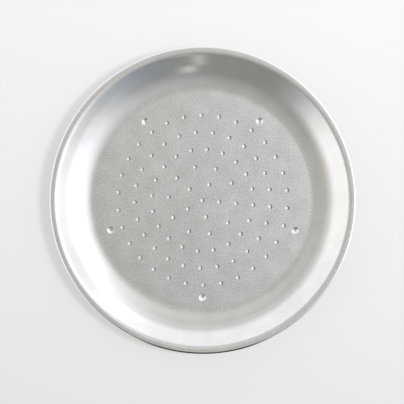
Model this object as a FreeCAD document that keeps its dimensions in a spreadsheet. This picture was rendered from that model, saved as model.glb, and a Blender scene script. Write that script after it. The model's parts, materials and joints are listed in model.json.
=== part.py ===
import FreeCAD, Part
import Sketcher
import math
import os

# A round perforated baking pan: one pressed aluminium sheet, its rim rolled over a hidden wire ring.
# Millimetres, +Z up. The origin is the middle of the plane that the pressed feet stand on.

# Driving dimensions: lengths in millimetres, angles in degrees, and counts.
dimensions = {
    "pan_diameter": 356,
    "pan_depth": 22,
    "sheet_thickness": 1,
    "wall_angle": 43,
    "corner_radius": 49,
    "rim_bend_radius": 7,
    "rim_tilt": 3,
    "rim_land": 2.8,
    "curl_turn": 285,
    "wire_diameter": 2.6,
    "wire_clearance": 0.3,
    "wire_gap": 2,
    "foot_count": 5,
    "foot_first_angle": -90,
    "foot_inset": 12.5,
    "foot_mouth_diameter": 9.2,
    "foot_height": 2,
    "foot_side_angle": 36,
    "foot_lip_radius": 0.3,
    "foot_toe_radius": 0.3,
    "hole_diameter": 4.6,
    "hole_first_angle": -5.3,
    "ring_inset": 14.5,
    "first_ring_holes": 5,
    "second_ring_holes": 10,
    "third_ring_holes": 20,
    "fourth_ring_holes": 25,
    "fifth_ring_holes": 30,
}
rings = ("first", "second", "third", "fourth", "fifth")
curl_arcs = ("top", "outside", "lower", "bottom", "inside", "tail")
full_turn = 360

# The points by which a sketch's lines and arcs are tied, and the sketch's own axes.
START, END, MIDDLE = range(1, 4)
FLAT_AXIS, UPRIGHT_AXIS = range(-1, -3, -1)

document = FreeCAD.newDocument("perforated_pan")
sheet = document.addObject("Spreadsheet::Sheet", "Dimensions")
for row, (alias, number) in enumerate(dimensions.items(), start=1):
    sheet.set(f"A{row}", alias)
    sheet.set(f"B{row}", str(number))
    sheet.setAlias(f"B{row}", alias)
document.recompute()


def size(alias):
    return float(sheet.get(alias))


def origin_part(body, role):
    return next(part for part in body.Origin.OriginFeatures if part.Role == role)


def new_body(name):
    body = document.addObject("PartDesign::Body", name)
    body.Label = name
    return body


def new_sketch(body, name, plane, turn_axis=None, turn_alias=None):
    sketch = body.newObject("Sketcher::SketchObject", name)
    sketch.AttachmentSupport = [(origin_part(body, plane), "")]
    sketch.MapMode = "FlatFace"
    if turn_axis:
        turn = FreeCAD.Rotation(turn_axis, size(turn_alias))
        sketch.AttachmentOffset = FreeCAD.Placement(FreeCAD.Vector(), turn)
        sketch.setExpression("AttachmentOffset.Rotation.Angle", f"Dimensions.{turn_alias}")
    return sketch


def line(sketch, first, last, construction=False):
    return sketch.addGeometry(Part.LineSegment(first, last), construction)


def circle(sketch, middle, radius):
    return sketch.addGeometry(Part.Circle(middle, FreeCAD.Vector(0, 0, 1), radius))


def arc(sketch, middle, radius, first_angle, last_angle):
    whole = Part.Circle(middle, FreeCAD.Vector(0, 0, 1), radius)
    return sketch.addGeometry(Part.ArcOfCircle(whole, math.radians(first_angle), math.radians(last_angle)))


def around(middle, radius, angle):
    turn = math.radians(angle)
    return middle + FreeCAD.Vector(radius * math.cos(turn), radius * math.sin(turn))


def tie(sketch, *constraint):
    return sketch.addConstraint(Sketcher.Constraint(*constraint))


def bind(sketch, name, expression, *constraint):
    sketch.renameConstraint(tie(sketch, *constraint), name)
    sketch.setExpression(f"Constraints.{name}", expression)


# One step pressed into the sheet, in section: a low flat, a hollow toe, a straight side and a rounded lip.
# The pan's floor, corner, wall and rim bend are such a step, and so is each foot.
def pressed_step(sketch, spindle_at, low, lip_middle, lip_radius, toe_radius, side_angle, lip_tilt=0):
    thickness = size("sheet_thickness")
    slope = math.radians(side_angle)
    top = low + thickness
    rise = top + toe_radius - lip_middle.y
    reach = (toe_radius + lip_radius + thickness - rise * math.cos(slope)) / math.sin(slope)
    toe_middle = FreeCAD.Vector(lip_middle.x - reach, top + toe_radius)
    toe_from = -90
    lip_top = 90

    def surface(level, toe, lip):
        flat = line(sketch, FreeCAD.Vector(spindle_at, level), FreeCAD.Vector(toe_middle.x, level))
        toe_arc = arc(sketch, toe_middle, toe, toe_from, toe_from + side_angle)
        lip_arc = arc(sketch, lip_middle, lip, lip_top + lip_tilt, lip_top + side_angle)
        toe_end = around(toe_middle, toe, toe_from + side_angle)
        side = line(sketch, toe_end, around(lip_middle, lip, lip_top + side_angle))
        tie(sketch, "Horizontal", flat)
        tie(sketch, "Tangent", flat, END, toe_arc, START)
        tie(sketch, "Tangent", toe_arc, END, side, START)
        tie(sketch, "Tangent", side, END, lip_arc, END)
        return {"flat": flat, "toe": toe_arc, "side": side, "lip": lip_arc}

    upper = surface(top, toe_radius, lip_radius + thickness)
    under = surface(low, toe_radius + thickness, lip_radius)
    spindle = line(sketch, FreeCAD.Vector(spindle_at, low), FreeCAD.Vector(spindle_at, top))
    tie(sketch, "Coincident", spindle, START, under["flat"], START)
    tie(sketch, "Coincident", spindle, END, upper["flat"], START)
    tie(sketch, "Coincident", upper["toe"], MIDDLE, under["toe"], MIDDLE)
    tie(sketch, "Coincident", upper["lip"], MIDDLE, under["lip"], MIDDLE)
    thickness_of = "Dimensions.sheet_thickness"
    bind(sketch, "thickness", thickness_of, "DistanceY", spindle, START, spindle, END, thickness)
    return upper, under, spindle


def revolve(body, name, sketch, axis):
    feature = body.newObject("PartDesign::Revolution", name)
    feature.Profile = sketch
    feature.ReferenceAxis = (sketch, [axis])
    feature.Angle = full_turn
    return feature


def punch(body, name, sketch):
    feature = body.newObject("PartDesign::Pocket", name)
    feature.Profile = sketch
    feature.Type = "ThroughAll"
    feature.Reversed = True
    return feature


def repeat(body, name, features, count_alias):
    pattern = body.newObject("PartDesign::PolarPattern", name)
    pattern.Originals = features
    pattern.Axis = (origin_part(body, "Z_Axis"), [""])
    pattern.Angle = full_turn
    pattern.setExpression("Occurrences", f"Dimensions.{count_alias}")
    body.Tip = pattern
    return pattern


# Sizes that several features follow, as numbers and as expressions of the sheet's cells.
curl_inside = size("wire_diameter") / 2 + size("wire_clearance")
curl_outside = curl_inside + size("sheet_thickness")
floor_top = size("foot_height") + size("sheet_thickness")
rim_top = floor_top + size("pan_depth")
curl_middle = FreeCAD.Vector(size("pan_diameter") / 2 - curl_outside, rim_top - curl_outside)

curl_inside_of = "(Dimensions.wire_diameter / 2 + Dimensions.wire_clearance)"
curl_outside_of = f"({curl_inside_of} + Dimensions.sheet_thickness)"
floor_top_of = "(Dimensions.foot_height + Dimensions.sheet_thickness)"
curl_across_of = f"Dimensions.pan_diameter / 2 - {curl_outside_of}"
curl_up_of = f"{floor_top_of} + Dimensions.pan_depth - {curl_outside_of}"
foot_circle_of = "sheet_section.Constraints.foot_circle"
outer_ring_of = "sheet_section.Constraints.ring_circle"


# The whole sheet in section, from the middle of the floor to the tail of the rolled rim, turned about +Z.
def press_sheet(body):
    sketch = new_sketch(body, "sheet_section", "XZ_Plane")
    turn = size("curl_turn")
    tilt = size("rim_tilt")
    curl_top = 90
    curl_from = curl_top + tilt
    bend_inside = size("rim_bend_radius")
    bend_outside = bend_inside + size("sheet_thickness")
    land_start = around(around(curl_middle, curl_outside, curl_from), -size("rim_land"), tilt)
    bend_middle = around(land_start, -bend_outside, curl_from)
    low = size("foot_height")
    corner = size("corner_radius")
    slope = size("wall_angle")
    upper, under, spindle = pressed_step(sketch, 0, low, bend_middle, bend_inside, corner, slope, tilt)
    tie(sketch, "PointOnObject", spindle, START, UPRIGHT_AXIS)
    tie(sketch, "PointOnObject", spindle, END, UPRIGHT_AXIS)
    bind(sketch, "floor_level", "Dimensions.foot_height", "DistanceY", spindle, START, low)
    bind(sketch, "wall", "Dimensions.wall_angle", "Angle", upper["side"], math.radians(slope))
    bind(sketch, "corner", "Dimensions.corner_radius", "Radius", upper["toe"], corner)

    # The curl is drawn in short arcs of one circle, so that each face of it follows the circle closely.
    def roll(surface, bend, radius, radius_of, name):
        land = line(sketch, around(bend_middle, bend, curl_from), around(curl_middle, radius, curl_from))
        tie(sketch, "Tangent", surface["lip"], START, land, START)
        arc_turn = turn / len(curl_arcs)
        arc_turn_of = f"Dimensions.curl_turn / {len(curl_arcs)}"
        curl = []
        for step, place in enumerate(curl_arcs):
            arc_from = curl_from - arc_turn * step
            curl.append(arc(sketch, curl_middle, radius, arc_from - arc_turn, arc_from))
            bind(sketch, f"{name}_{place}", arc_turn_of, "Angle", curl[-1], math.radians(arc_turn))
        tie(sketch, "Tangent", land, END, curl[0], END)
        bind(sketch, f"{name}_radius", radius_of, "Radius", curl[0], radius)
        for before, after in zip(curl, curl[1:]):
            tie(sketch, "Coincident", before, START, after, END)
            tie(sketch, "Coincident", before, MIDDLE, after, MIDDLE)
        return land, curl

    land, outer_curl = roll(upper, bend_outside, curl_outside, curl_outside_of, "outer_curl")
    under_land, inner_curl = roll(under, bend_inside, curl_inside, curl_inside_of, "inner_curl")
    tail_angle = curl_from - turn
    tail_start = around(curl_middle, curl_outside, tail_angle)
    tail = line(sketch, tail_start, around(curl_middle, curl_inside, tail_angle))
    tie(sketch, "Coincident", tail, START, outer_curl[-1], START)
    tie(sketch, "Coincident", tail, END, inner_curl[-1], START)
    tie(sketch, "Coincident", outer_curl[0], MIDDLE, inner_curl[0], MIDDLE)
    bind(sketch, "rim_bend", "Dimensions.rim_bend_radius", "Radius", under["lip"], bend_inside)
    tie(sketch, "Parallel", land, under_land)
    bind(sketch, "tilt", "Dimensions.rim_tilt", "Angle", land, math.radians(tilt))
    bind(sketch, "land", "Dimensions.rim_land", "Distance", land, size("rim_land"))
    bind(sketch, "curl_across", curl_across_of, "DistanceX", outer_curl[0], MIDDLE, curl_middle.x)
    bind(sketch, "curl_up", curl_up_of, "DistanceY", outer_curl[0], MIDDLE, curl_middle.y)
    edge = sketch.getPoint(upper["flat"], END)
    foot_mark = mark(sketch, "foot", upper["flat"], END, edge, "foot_inset")
    mark(sketch, "ring", foot_mark, START, sketch.getPoint(foot_mark, START), "ring_inset")
    revolve(body, "pressed_sheet", sketch, "V_Axis")
    return sketch


# A mark on the floor's section, set in from a point further out, whose distance from the middle can be read.
def mark(sketch, name, outer, outer_point, outer_at, inset_alias):
    inset = size(inset_alias)
    at = outer_at - FreeCAD.Vector(inset, 0)
    point = sketch.addGeometry(Part.Point(at), True)
    tie(sketch, "Horizontal", point, START, outer, outer_point)
    inset_of = f"Dimensions.{inset_alias}"
    bind(sketch, f"{name}_inset", inset_of, "DistanceX", point, START, outer, outer_point, inset)
    reading = tie(sketch, "DistanceX", point, START, at.x)
    sketch.setDriving(reading, False)
    sketch.renameConstraint(reading, f"{name}_circle")
    return point


# Feet pressed down into the floor near its edge: the mouth is opened and the drawn cup takes its place.
def press_feet(body, foot_circle):
    mouth_radius = size("foot_mouth_diameter") / 2
    mouth_of = "Dimensions.foot_mouth_diameter / 2"
    opening = new_sketch(body, "foot_mouth", "XY_Plane", FreeCAD.Vector(0, 0, 1), "foot_first_angle")
    ring = circle(opening, FreeCAD.Vector(foot_circle, 0), mouth_radius)
    tie(opening, "PointOnObject", ring, MIDDLE, FLAT_AXIS)
    bind(opening, "circle", foot_circle_of, "DistanceX", ring, MIDDLE, foot_circle)
    bind(opening, "mouth", mouth_of, "Radius", ring, mouth_radius)
    mouth = punch(body, "foot_opening", opening)

    sketch = new_sketch(body, "foot_section", "XZ_Plane", FreeCAD.Vector(0, 1, 0), "foot_first_angle")
    axis = line(sketch, FreeCAD.Vector(foot_circle, 0), FreeCAD.Vector(foot_circle, floor_top), True)
    thickness = size("sheet_thickness")
    toe = size("foot_toe_radius")
    slope = size("foot_side_angle")
    lip_top = 90
    lip_inside = size("foot_lip_radius")
    lip_outside = lip_inside + thickness
    lip_middle = FreeCAD.Vector(foot_circle + mouth_radius, floor_top - lip_outside)
    upper, under, spindle = pressed_step(sketch, foot_circle, 0, lip_middle, lip_inside, toe, slope)
    tie(sketch, "PointOnObject", spindle, START, FLAT_AXIS)
    tie(sketch, "Vertical", spindle)
    tie(sketch, "Vertical", axis)
    tie(sketch, "Coincident", axis, START, spindle, START)
    bind(sketch, "axis_length", floor_top_of, "DistanceY", axis, START, axis, END, floor_top)
    bind(sketch, "circle", foot_circle_of, "DistanceX", spindle, START, foot_circle)
    bind(sketch, "side", "Dimensions.foot_side_angle", "Angle", upper["side"], math.radians(slope))
    bind(sketch, "toe", "Dimensions.foot_toe_radius", "Radius", upper["toe"], toe)
    bind(sketch, "lip", "Dimensions.foot_lip_radius", "Radius", under["lip"], lip_inside)
    brim = line(sketch, around(lip_middle, lip_outside, lip_top), around(lip_middle, lip_inside, lip_top))
    tie(sketch, "Coincident", brim, START, upper["lip"], START)
    tie(sketch, "Coincident", brim, END, under["lip"], START)
    tie(sketch, "Vertical", brim)
    tie(sketch, "Vertical", upper["lip"], START, upper["lip"], MIDDLE)
    bind(sketch, "brim", "Dimensions.sheet_thickness", "DistanceY", brim, END, brim, START, thickness)
    bind(sketch, "mouth", mouth_of, "DistanceX", spindle, START, brim, END, mouth_radius)
    bind(sketch, "floor_level", floor_top_of, "DistanceY", brim, START, floor_top)
    cup = revolve(body, "foot", sketch, "Axis0")
    repeat(body, "feet", [mouth, cup], "foot_count")


# Steam holes: one in the middle and rings of them at an even pitch, each ring starting on the same ray.
def punch_holes(body, outer_ring):
    radius = size("hole_diameter") / 2
    for index, name in enumerate(("middle", *rings)):
        share = index / len(rings)
        sketch = new_sketch(body, f"{name}_hole", "XY_Plane", FreeCAD.Vector(0, 0, 1), "hole_first_angle")
        hole = circle(sketch, FreeCAD.Vector(outer_ring * share, 0), radius)
        bind(sketch, "hole", "Dimensions.hole_diameter / 2", "Radius", hole, radius)
        if name == "middle":
            tie(sketch, "Coincident", hole, MIDDLE, FLAT_AXIS, START)
            punch(body, f"{name}_punch", sketch)
            continue
        tie(sketch, "PointOnObject", hole, MIDDLE, FLAT_AXIS)
        across_of = f"{outer_ring_of} * {index} / {len(rings)}"
        bind(sketch, "ring", across_of, "DistanceX", hole, MIDDLE, outer_ring * share)
        feature = punch(body, f"{name}_punch", sketch)
        repeat(body, f"{name}_ring", [feature], f"{name}_ring_holes")


def make_pan_shell():
    body = new_body("pan_shell")
    section = press_sheet(body)
    press_feet(body, section.getDatum("foot_circle").Value)
    punch_holes(body, section.getDatum("ring_circle").Value)
    return body


# The stiffening wire lies in the rolled rim. It is bent from straight stock, so its ends do not meet.
def make_rim_wire():
    body = new_body("rim_wire")
    sketch = new_sketch(body, "wire_section", "XZ_Plane")
    section = circle(sketch, curl_middle, size("wire_diameter") / 2)
    bind(sketch, "wire", "Dimensions.wire_diameter / 2", "Radius", section, size("wire_diameter") / 2)
    bind(sketch, "across", curl_across_of, "DistanceX", section, MIDDLE, curl_middle.x)
    bind(sketch, "up", curl_up_of, "DistanceY", section, MIDDLE, curl_middle.y)
    ring = revolve(body, "bent_wire", sketch, "V_Axis")
    ring.setExpression("Angle", f"{full_turn} * (1 - Dimensions.wire_gap / (2 * pi * ({curl_across_of})))")
    return body


bodies = [make_pan_shell(), make_rim_wire()]
document.recompute()

hole_volume = math.pi * (size("hole_diameter") / 2) ** 2 * size("sheet_thickness")
for item in document.Objects:
    if "Invalid" in item.State or "Error" in item.State:
        raise RuntimeError(f"{item.Name} did not build: {item.State}")
    if item.TypeId in ("PartDesign::Pocket", "PartDesign::PolarPattern"):
        if abs(item.Shape.Volume - item.BaseFeature.Shape.Volume) < hole_volume / 2:
            raise RuntimeError(f"{item.Name} changed nothing")
for body in bodies:
    if body.Shape.isNull() or not body.Shape.isValid() or len(body.Shape.Solids) != 1:
        raise RuntimeError(f"{body.Label} is not one sound solid")

os.makedirs("parts", exist_ok=True)
for body in bodies:
    body.Shape.exportStep(f"parts/{body.Label}.step")
    print(body.Label, round(body.Shape.Volume), "cubic mm")
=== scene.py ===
import json
import math

import bmesh
import bpy
from mathutils import Matrix, Vector


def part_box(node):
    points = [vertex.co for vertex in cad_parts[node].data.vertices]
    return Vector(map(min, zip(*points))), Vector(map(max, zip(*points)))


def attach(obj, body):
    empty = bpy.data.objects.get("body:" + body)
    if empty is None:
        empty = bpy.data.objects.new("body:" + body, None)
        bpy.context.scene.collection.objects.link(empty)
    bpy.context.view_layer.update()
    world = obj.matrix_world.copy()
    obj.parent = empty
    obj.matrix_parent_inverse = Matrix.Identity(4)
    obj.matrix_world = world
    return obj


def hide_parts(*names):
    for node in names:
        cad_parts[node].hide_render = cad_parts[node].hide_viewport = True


# A pressed aluminium pizza pan, seen from straight above. Metres, +Z up, in the CAD model's frame.
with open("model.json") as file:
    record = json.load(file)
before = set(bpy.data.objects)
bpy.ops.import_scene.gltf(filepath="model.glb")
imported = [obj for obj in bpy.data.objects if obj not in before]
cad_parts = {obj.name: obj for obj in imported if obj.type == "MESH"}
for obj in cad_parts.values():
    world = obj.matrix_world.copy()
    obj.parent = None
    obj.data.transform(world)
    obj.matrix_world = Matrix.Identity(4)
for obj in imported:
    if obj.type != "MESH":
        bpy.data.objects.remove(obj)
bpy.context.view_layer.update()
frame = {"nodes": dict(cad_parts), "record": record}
scene = bpy.context.scene
scene.view_settings.view_transform = "Standard"
mountPlaces = {mount["name"]: Vector(mount["pos_m"]) for mount in frame["record"]["mounts"]}
weldGap = 1e-6
flatten = (1, 1, 0)  # times a place or a direction, drops its height


def addNode(tree, kind, inputs=None, **settings):
    node = tree.nodes.new(kind)
    for name, value in settings.items():
        setattr(node, name, value)
    for name, value in (inputs or {}).items():
        if isinstance(value, bpy.types.NodeSocket):
            tree.links.new(value, node.inputs[name])
        else:
            node.inputs[name].default_value = value
    return node


def nodeMath(tree, kind, first, second):
    return addNode(tree, "ShaderNodeMath", {0: first, 1: second}, operation=kind).outputs[0]


def vectorMath(tree, kind, inputs, result="Vector"):
    return addNode(tree, "ShaderNodeVectorMath", inputs, operation=kind).outputs[result]


def around(middle, radius, degrees):
    turn = math.radians(degrees)
    return middle + Vector((radius * math.cos(turn), 0, radius * math.sin(turn)))


# A section is drawn in the XZ plane, one vertex after another, and then turned about an upright axis.
def drawLine(sheet, vert, place, cuts=1):
    start = vert.co.copy()
    for cut in range(1, cuts + 1):
        vert = bmesh.ops.extrude_vert_indiv(sheet, verts=[vert])["verts"][0]
        vert.co = start.lerp(place, cut / cuts)
    return vert


def drawArc(sheet, vert, middle, degrees, steps):
    drawn = bmesh.ops.spin(sheet, geom=[vert], cent=middle, axis=(0, -1, 0),
                           angle=math.radians(degrees), steps=steps)
    return next(item for item in drawn["geom_last"] if isinstance(item, bmesh.types.BMVert))


# The S of a pressed step: along the flat, up through the hollow toe and the side, then over the lip
def drawStep(sheet, vert, toe, toeRadius, lip, lipRadius, slope, steps, cuts, tilt=0):
    vert = drawLine(sheet, vert, around(toe, toeRadius, -90), cuts)
    vert = drawArc(sheet, vert, toe, slope, steps)
    vert = drawLine(sheet, vert, around(lip, lipRadius, 90 + slope), cuts)
    return drawArc(sheet, vert, lip, tilt - slope, steps)


def turnSection(sheet, steps):
    section = sheet.verts[:] + sheet.edges[:]
    bmesh.ops.spin(sheet, geom=section, cent=(0, 0, 0), axis=(0, 0, 1),
                   angle=math.tau, steps=steps, use_merge=True)
    bmesh.ops.remove_doubles(sheet, verts=sheet.verts[:], dist=weldGap)


# Middle of the toe's arc, placed so that a straight side of this slope runs smoothly into both arcs
def toeOf(level, toeRadius, lip, lipRadius, slope):
    turn = math.radians(slope)
    rise = level + toeRadius - lip.z
    reach = (toeRadius + lipRadius - rise * math.cos(turn)) / math.sin(turn)
    return Vector((lip.x - reach, 0, level + toeRadius))


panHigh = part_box("pan_shell")[1]
floorTop = mountPlaces["baking_floor"].z
footPlaces = [place for name, place in mountPlaces.items() if name.startswith("foot_pad")]
panShell = {
    "thickness": 0.001,
    "wallSlope": 43,
    "cornerRadius": 0.049,      # inside of the bend from floor to wall
    "bendRadius": 0.008,        # upper face of the bend from wall to rim
    "rimTilt": 3,
    "rimLand": 0.0028,          # nearly level strip on top of the rim
    "curlRadius": 0.0026,       # outside of the rolled rim
    "curlTurn": 285,
    "flatMargin": 0.002,        # turned flat strip round the floor's filled middle
    "straightCuts": 4,
    "turnSteps": 320,
    "bendSteps": 20,
    "curlSteps": 28,
    "creaseAngle": 35,          # edges turned by more than this stay sharp
}
foot = {
    "mouthRadius": 0.0046,
    "lipRadius": 0.0013,
    "toeRadius": 0.0003,
    "sideSlope": 36,
    "margin": 0.0008,
    "straightCuts": 2,
    "turnSteps": 48,
    "arcSteps": 6,
}
steamHole = {
    "radius": 0.0023,
    "edgeRound": 0.00015,       # soft upper edge left by the punch
    "margin": 0.0004,
    "turnSteps": 28,
    "roundSteps": 3,
    "ringCounts": (5, 10, 20, 25, 30),
    "ringPitch": 0.020,
    "firstAngle": -5.3,         # every ring starts on this ray
}


def turnPan():
    sheet = bmesh.new()
    thick = panShell["thickness"]
    tilt = panShell["rimTilt"]
    curlRadius = panShell["curlRadius"]
    curl = Vector((panHigh.x - curlRadius, 0, panHigh.z - curlRadius))
    landStart = around(around(curl, curlRadius, 90 + tilt), -panShell["rimLand"], tilt)
    lip = around(landStart, -panShell["bendRadius"], 90 + tilt)
    toe = toeOf(floorTop, panShell["cornerRadius"], lip, panShell["bendRadius"], panShell["wallSlope"])
    tails = []
    for inset in (0, thick):  # upper face, then underside
        vert = sheet.verts.new((toe.x - panShell["flatMargin"], 0, floorTop - inset))
        vert = drawStep(sheet, vert, toe, panShell["cornerRadius"] + inset, lip,
                        panShell["bendRadius"] - inset, panShell["wallSlope"], panShell["bendSteps"],
                        panShell["straightCuts"], tilt)
        vert = drawLine(sheet, vert, around(curl, curlRadius - inset, 90 + tilt))
        tails.append(drawArc(sheet, vert, curl, -panShell["curlTurn"], panShell["curlSteps"]))
    sheet.edges.new(tails)
    turnSection(sheet, panShell["turnSteps"])
    return sheet


def turnFoot():
    sheet = bmesh.new()
    thick = panShell["thickness"]
    lip = Vector((foot["mouthRadius"], 0, floorTop - foot["lipRadius"]))
    toe = toeOf(thick, foot["toeRadius"], lip, foot["lipRadius"], foot["sideSlope"])
    for inset in (0, thick):
        vert = sheet.verts.new((0, 0, thick - inset))
        vert = drawStep(sheet, vert, toe, foot["toeRadius"] + inset, lip, foot["lipRadius"] - inset,
                        foot["sideSlope"], foot["arcSteps"], foot["straightCuts"])
        drawLine(sheet, vert, vert.co + Vector((foot["margin"], 0, 0)))
    turnSection(sheet, foot["turnSteps"])
    return sheet


def turnHole():
    sheet = bmesh.new()
    radius = steamHole["radius"]
    soft = steamHole["edgeRound"]
    edge = Vector((radius + soft, 0, floorTop - soft))
    outside = edge.x + steamHole["margin"]
    under = floorTop - panShell["thickness"]
    vert = sheet.verts.new((outside, 0, floorTop))
    vert = drawLine(sheet, vert, around(edge, soft, 90))
    vert = drawArc(sheet, vert, edge, 90, steamHole["roundSteps"])
    vert = drawLine(sheet, vert, Vector((radius, 0, under)))
    drawLine(sheet, vert, Vector((outside, 0, under)))
    turnSection(sheet, steamHole["turnSteps"])
    return sheet


def holePlaces():
    places = [Vector()]
    for ring, count in enumerate(steamHole["ringCounts"], start=1):
        first = Vector((ring * steamHole["ringPitch"], 0, 0))
        for step in range(count):
            turn = math.radians(steamHole["firstAngle"]) + math.tau * step / count
            places.append(Matrix.Rotation(turn, 3, "Z") @ first)
    return places


def setInto(sheet, shape, places):
    mesh = bpy.data.meshes.new("pressedShape")
    shape.to_mesh(mesh)
    shape.free()
    for place in places:
        known = len(sheet.verts)
        sheet.from_mesh(mesh)
        sheet.verts.ensure_lookup_table()
        bmesh.ops.translate(sheet, verts=sheet.verts[known:], vec=(place.x, place.y, 0))
    bpy.data.meshes.remove(mesh)


def fillFloor(sheet, level):
    edges = [edge for edge in sheet.edges if edge.is_boundary
             and all(abs(vert.co.z - level) < weldGap for vert in edge.verts)]
    bmesh.ops.triangle_fill(sheet, edges=edges, use_beauty=True, normal=(0, 0, 1))


def makePan(material):
    sheet = turnPan()
    setInto(sheet, turnFoot(), footPlaces)
    setInto(sheet, turnHole(), holePlaces())
    fillFloor(sheet, floorTop)
    fillFloor(sheet, floorTop - panShell["thickness"])
    bmesh.ops.remove_doubles(sheet, verts=sheet.verts[:], dist=weldGap)
    bmesh.ops.recalc_face_normals(sheet, faces=sheet.faces[:])
    openEdges = [edge for edge in sheet.edges if not edge.is_manifold]
    print("pan shell:", len(sheet.faces), "faces,", len(openEdges), "open edges")
    for face in sheet.faces:
        face.smooth = True
    for edge in sheet.edges:
        edge.smooth = edge.calc_face_angle(0) < math.radians(panShell["creaseAngle"])
    mesh = bpy.data.meshes.new("panSheet")
    sheet.to_mesh(mesh)
    sheet.free()
    mesh.materials.append(material)
    piece = bpy.data.objects.new("panSheet", mesh)
    scene.collection.objects.link(piece)
    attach(piece, "root")
    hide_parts("pan_shell")


# Satin sheet: matt and grained on the floor, smoother where drawn or pressed, nicked on the rolled rim
aluminium = {
    "dark": (0.70, 0.70, 0.695, 1),
    "light": (1.0, 1.0, 1.0, 1),
    "under": (0.60, 0.60, 0.60, 1),      # underside: a little duller, and darker still as painted shade under the pan
    "underShadeFacing": (0, -0.2),
    "paintedDarkReflection": (0.10, 0.07, 0.055, 1),   # painted dark reflection along the front of the rim's outer edge
    "paintedDarkReflectionEdge": (0.1756, 0.1766),
    "paintedDarkReflectionFront": (-0.155, -0.172),
    "floorRough": 0.33,
    "wallRough": 0.17,
    "rimRough": 0.26,
    "curlRough": 0.12,                   # outside of the rolled rim
    "footRough": 0.10,
    "roughSpread": 0.02,
    "wallStart": (0.118, 0.142),         # radii over which a finish comes in
    "rimStart": (0.167, 0.171),
    "curlStart": (0.1754, 0.1762),
    "footRing": (0.109, 0.120),          # the feet lie between these radii
    "footDepth": 0.0006,
    "footFacing": (0, 0.1),
    "grainScale": 700,
    "grainDetail": 3,
    "floorGrain": 0.00009,               # depths of the grain
    "wallGrain": 0.000012,
    "nickScale": 420,
    "nickDetail": 4,
    "nickDepth": 0.00015,
    "mottleScale": 45,
    "mottleDetail": 2,
    "floorTones": (0.75, 0.25),          # shares of grain and mottle
    "wallTones": (0.15, 0.475),          # share of mottle, and an even tone
    "toneRange": (0.3, 0.7),
}


def makeAluminium():
    material = bpy.data.materials.new("satinAluminium")
    material.use_nodes = True
    tree = material.node_tree
    shader = tree.nodes["Principled BSDF"]
    shader.inputs["Metallic"].default_value = 1

    def mix(share, first, second, kind="FLOAT"):
        inputs = {"Factor": share, "A": first, "B": second}
        return addNode(tree, "ShaderNodeMix", inputs, data_type=kind).outputs["Result"]

    def times(first, second):
        return nodeMath(tree, "MULTIPLY", first, second)

    def ramp(value, fromMin, fromMax, toMin=0, toMax=1):
        limits = {"Value": value, "From Min": fromMin, "From Max": fromMax,
                  "To Min": toMin, "To Max": toMax}
        eased = addNode(tree, "ShaderNodeMapRange", limits, interpolation_type="SMOOTHSTEP")
        return eased.outputs["Result"]

    def pattern(scale, detail):
        inputs = {"Vector": place, "Scale": scale, "Detail": detail}
        return addNode(tree, "ShaderNodeTexNoise", inputs).outputs["Fac"]

    place = addNode(tree, "ShaderNodeTexCoord").outputs["Object"]
    along = addNode(tree, "ShaderNodeSeparateXYZ", {"Vector": place}).outputs
    facing = addNode(tree, "ShaderNodeNewGeometry").outputs["Normal"]
    facing = addNode(tree, "ShaderNodeSeparateXYZ", {"Vector": facing}).outputs["Z"]
    level = vectorMath(tree, "MULTIPLY", {0: place, 1: flatten})
    radius = vectorMath(tree, "LENGTH", {0: level}, "Value")
    wall = ramp(radius, *aluminium["wallStart"])
    rim = ramp(radius, *aluminium["rimStart"])
    curl = ramp(radius, *aluminium["curlStart"])

    # inside of the pressed feet: upper face, below the floor, on their ring
    ringInside, ringOutside = aluminium["footRing"]
    pressed = ramp(along["Z"], floorTop, floorTop - aluminium["footDepth"])
    pressed = times(pressed, ramp(facing, *aluminium["footFacing"]))
    pressed = times(pressed, nodeMath(tree, "GREATER_THAN", radius, ringInside))
    pressed = times(pressed, nodeMath(tree, "LESS_THAN", radius, ringOutside))

    grain = pattern(aluminium["grainScale"], aluminium["grainDetail"])
    mottle = pattern(aluminium["mottleScale"], aluminium["mottleDetail"])
    nicks = pattern(aluminium["nickScale"], aluminium["nickDetail"])
    toneRange = aluminium["toneRange"]
    grainShare, mottleShare = aluminium["floorTones"]
    floorTone = nodeMath(tree, "ADD", times(grain, grainShare), times(mottle, mottleShare))
    mottleShare, evenTone = aluminium["wallTones"]
    wallTone = nodeMath(tree, "ADD", times(mottle, mottleShare), evenTone)
    tone = ramp(mix(wall, floorTone, wallTone), *toneRange)
    tint = mix(tone, aluminium["dark"], aluminium["light"], "RGBA")
    tint = mix(curl, tint, aluminium["light"], "RGBA")
    # downward faces take the underside tint: a duller sheet, darkened further as painted shade under
    # the pan
    tint = mix(ramp(facing, *aluminium["underShadeFacing"]), tint, aluminium["under"], "RGBA")
    # painted dark reflection: a brown line on the outer edge of the rim, at the front
    paintedDarkReflection = ramp(radius, *aluminium["paintedDarkReflectionEdge"])
    paintedDarkReflection = times(paintedDarkReflection, ramp(along["Y"], *aluminium["paintedDarkReflectionFront"]))
    tint = mix(paintedDarkReflection, tint, aluminium["paintedDarkReflection"], "RGBA")
    tree.links.new(tint, shader.inputs["Base Color"])

    rough = mix(wall, aluminium["floorRough"], aluminium["wallRough"])
    rough = mix(rim, rough, aluminium["rimRough"])
    rough = mix(pressed, rough, aluminium["footRough"])
    rough = mix(curl, rough, aluminium["curlRough"])
    spread = aluminium["roughSpread"]
    rough = nodeMath(tree, "ADD", rough, ramp(grain, *toneRange, -spread, spread))
    tree.links.new(rough, shader.inputs["Roughness"])

    depth = mix(wall, aluminium["floorGrain"], aluminium["wallGrain"])
    depth = mix(pressed, depth, aluminium["wallGrain"])
    nickDepth = mix(curl, aluminium["nickDepth"], aluminium["wallGrain"])
    relief = mix(rim, times(grain, depth), times(nicks, nickDepth))
    bump = addNode(tree, "ShaderNodeBump", {"Height": relief, "Distance": 1})
    tree.links.new(bump.outputs["Normal"], shader.inputs["Normal"])
    return material


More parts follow.
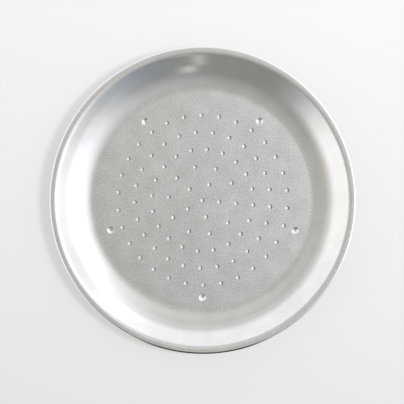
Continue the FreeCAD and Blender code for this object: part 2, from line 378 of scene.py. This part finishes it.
# Dull zinc, with the cloudy spangle of dipped wire
wire = {
    "dark": (0.42, 0.44, 0.46, 1),
    "light": (0.62, 0.64, 0.66, 1),
    "rough": 0.42,
    "spangleScale": 260,
}


def makeGalvanised():
    material = bpy.data.materials.new("galvanisedWire")
    material.use_nodes = True
    tree = material.node_tree
    shader = tree.nodes["Principled BSDF"]
    shader.inputs["Metallic"].default_value = 1
    shader.inputs["Roughness"].default_value = wire["rough"]
    place = addNode(tree, "ShaderNodeTexCoord").outputs["Object"]
    spangle = addNode(tree, "ShaderNodeTexVoronoi", {"Vector": place, "Scale": wire["spangleScale"]})
    inputs = {"Factor": spangle.outputs["Distance"], "A": wire["light"], "B": wire["dark"]}
    tint = addNode(tree, "ShaderNodeMix", inputs, data_type="RGBA").outputs["Result"]
    tree.links.new(tint, shader.inputs["Base Color"])
    return material


makePan(makeAluminium())
ring = frame["nodes"]["rim_wire"]
ring.data.materials.clear()
ring.data.materials.append(makeGalvanised())
print("pan and wire made")

stage = {
    "floorSize": 20,
    "paper": 0.70,              # the table's shade beside its glow
    "paperRough": 0.9,
    "paperGloss": 0.2,
    # the table under the pan is painted lighter, standing in for brighter light through the holes
    "paintedLightUnderPan": (0.80, 0.80, 0.80, 1),
    "panEdge": (0.160, 0.176),  # radii over which the painted light under the pan gives way
    "glow": (0.81, 0.93),       # from the front of the picture to its back
    "glowReach": 0.23,
    "glowShare": 0.64,
}


def makeTable():
    sheet = bmesh.new()
    bmesh.ops.create_grid(sheet, x_segments=1, y_segments=1, size=stage["floorSize"] / 2)
    mesh = bpy.data.meshes.new("table")
    sheet.to_mesh(mesh)
    sheet.free()
    table = bpy.data.objects.new("table", mesh)
    scene.collection.objects.link(table)
    paper = bpy.data.materials.new("palePaper")
    paper.use_nodes = True
    tree = paper.node_tree
    shader = tree.nodes["Principled BSDF"]
    shader.inputs["Roughness"].default_value = stage["paperRough"]
    shader.inputs["Specular IOR Level"].default_value = stage["paperGloss"]

    place = addNode(tree, "ShaderNodeTexCoord").outputs["Object"]
    radius = vectorMath(tree, "LENGTH", {0: place}, "Value")
    depth = addNode(tree, "ShaderNodeSeparateXYZ", {"Vector": place}).outputs["Y"]
    near, far = stage["glow"]
    reach = stage["glowReach"]
    edgeInside, edgeOutside = stage["panEdge"]
    limits = {"Value": radius, "From Min": edgeInside, "From Max": edgeOutside}
    beside = addNode(tree, "ShaderNodeMapRange", limits).outputs["Result"]
    limits = {"Value": depth, "From Min": -reach, "From Max": reach, "To Min": near, "To Max": far}
    level = addNode(tree, "ShaderNodeMapRange", limits).outputs["Result"]
    shade = nodeMath(tree, "MULTIPLY", level, stage["paper"])
    shade = addNode(tree, "ShaderNodeCombineColor", {name: shade for name in ("Red", "Green", "Blue")})
    # painted light: the table under the pan is lighter than beside it
    inputs = {"Factor": beside, "A": stage["paintedLightUnderPan"], "B": shade.outputs["Color"]}
    colour = addNode(tree, "ShaderNodeMix", inputs, data_type="RGBA").outputs["Result"]
    tree.links.new(colour, shader.inputs["Base Color"])

    # the pale backdrop, which metal shows as well as the camera
    path = addNode(tree, "ShaderNodeLightPath").outputs
    seen = nodeMath(tree, "ADD", path["Is Camera Ray"], path["Is Glossy Ray"])
    seen = nodeMath(tree, "ADD", seen, path["Is Transmission Ray"])
    share = nodeMath(tree, "MULTIPLY", beside, stage["glowShare"])
    share = nodeMath(tree, "MULTIPLY", seen, share)
    glow = addNode(tree, "ShaderNodeEmission", {"Strength": level}).outputs["Emission"]
    surface = addNode(tree, "ShaderNodeMixShader", {0: share, 1: shader.outputs["BSDF"], 2: glow})
    tree.links.new(surface.outputs["Shader"], tree.nodes["Material Output"].inputs["Surface"])
    mesh.materials.append(paper)


makeTable()
print("table made")

# Soft light cards over an even light. Headings turn from +X towards +Y, the back of the picture, and
# heights count down from overhead, in degrees. A card fades over each pair of angles.
evenLight = (0.261, 0.260, 0.245)
cards = {
    "window": {
        "heading": 5, "spread": (8, 80), "upper": (-27, 54), "lower": (62, 100),
        "light": (1.075, 1.075, 1.125)},
    "overhead": {"lower": (16, 54), "light": (0.149, 0.143, 0.137)},
    "backdrop": {
        "heading": 131, "spread": (71, 105), "upper": (34, 67), "light": (0.685, 0.687, 0.72)},
    "warmLeft": {
        "heading": 185, "spread": (10, 45), "upper": (20, 40), "light": (0.104, 0.089, 0.059)},
    "highBack": {
        "heading": 88, "spread": (0, 147), "upper": (3, 11), "lower": (43, 51),
        "light": (0.243, 0.247, 0.245)},
    "highFront": {
        "heading": -52, "spread": (20, 60), "upper": (4, 14), "lower": (38, 60),
        "light": (0.054, 0.069, 0.093)},
    "coolFront": {
        "heading": -62, "spread": (6, 26), "upper": (50, 72), "light": (0.0, 0.029, 0.072)},
    "glintTop": {
        "heading": -92, "spread": (0, 3), "upper": (62, 80), "light": (0.54, 0.51, 0.50)},
    "glintTail": {
        "heading": -88, "spread": (0, 4), "upper": (44, 56), "lower": (62, 74),
        "light": (0.60, 0.57, 0.55)},
}
key = {"heading": 2, "down": 33, "away": 2.2, "size": 0.5, "watts": 41}


def makeCards():
    world = bpy.data.worlds.new("studio")
    scene.world = world
    world.use_nodes = True
    tree = world.node_tree

    def angleFrom(vector, axis):
        dot = vectorMath(tree, "DOT_PRODUCT", {0: vector, 1: axis}, "Value")
        return addNode(tree, "ShaderNodeMath", {0: dot}, operation="ARCCOSINE").outputs[0]

    def fade(share, value, none, full):
        limits = {"Value": value, "From Min": math.radians(none), "From Max": math.radians(full)}
        eased = addNode(tree, "ShaderNodeMapRange", limits, interpolation_type="SMOOTHSTEP")
        return nodeMath(tree, "MULTIPLY", share, eased.outputs["Result"])

    ray = addNode(tree, "ShaderNodeTexCoord").outputs["Generated"]
    ray = vectorMath(tree, "NORMALIZE", {0: ray})
    level = vectorMath(tree, "MULTIPLY", {0: ray, 1: flatten})
    level = vectorMath(tree, "NORMALIZE", {0: level})
    down = angleFrom(ray, (0, 0, 1))
    total = evenLight
    for card in cards.values():
        share = 1
        if "heading" in card:
            turn = math.radians(card["heading"])
            full, none = card["spread"]
            aside = angleFrom(level, (math.cos(turn), math.sin(turn), 0))
            share = fade(share, aside, none, full)
        if "upper" in card:
            none, full = card["upper"]
            share = fade(share, down, none, full)
        if "lower" in card:
            full, none = card["lower"]
            share = fade(share, down, none, full)
        glow = vectorMath(tree, "SCALE", {0: card["light"], "Scale": share})
        total = vectorMath(tree, "ADD", {0: total, 1: glow})
    tree.links.new(total, tree.nodes["Background"].inputs["Color"])


def makeKey():
    lamp = bpy.data.lights.new("key", "AREA")
    lamp.shape = "DISK"
    lamp.size = key["size"]
    lamp.energy = key["watts"]
    light = bpy.data.objects.new("key", lamp)
    heading = Matrix.Rotation(math.radians(key["heading"]), 3, "Z")
    towards = heading @ around(Vector(), 1, 90 - key["down"])
    light.location = towards * key["away"]
    light.rotation_euler = towards.to_track_quat("Z", "Y").to_euler()
    light.visible_glossy = False  # the window card stands for it in the metal
    scene.collection.objects.link(light)


makeCards()
makeKey()
print("studio made")

photo = {
    "size": 404,                            # this and the rim in pixels
    "rimMiddle": (201.6, 200.5),
    "rimRadius": 153.8,
    "camera": Vector((0.065, 0.015, 1.17)),
    "sensor": 36,
    "clipEnd": 100,
}


def makeCamera():
    scale = panHigh.x / photo["rimRadius"]
    rim = Vector((0, 0, panHigh.z - panShell["curlRadius"]))
    middle = photo["size"] / 2
    aim = rim + Vector((middle - photo["rimMiddle"][0], photo["rimMiddle"][1] - middle, 0)) * scale
    back = photo["camera"] - aim
    away = back.length
    back.normalize()
    right = Vector((0, 1, 0)).cross(back).normalized()
    turn = Matrix((right, back.cross(right), back)).transposed().to_4x4()
    data = bpy.data.cameras.new("overhead")
    data.sensor_width = photo["sensor"]
    data.lens = photo["sensor"] * away / (photo["size"] * scale)
    data.clip_end = photo["clipEnd"]
    camera = bpy.data.objects.new("overhead", data)
    camera.matrix_world = Matrix.Translation(photo["camera"]) @ turn
    scene.collection.objects.link(camera)
    scene.camera = camera
    print("camera lens", round(data.lens, 1))


makeCamera()
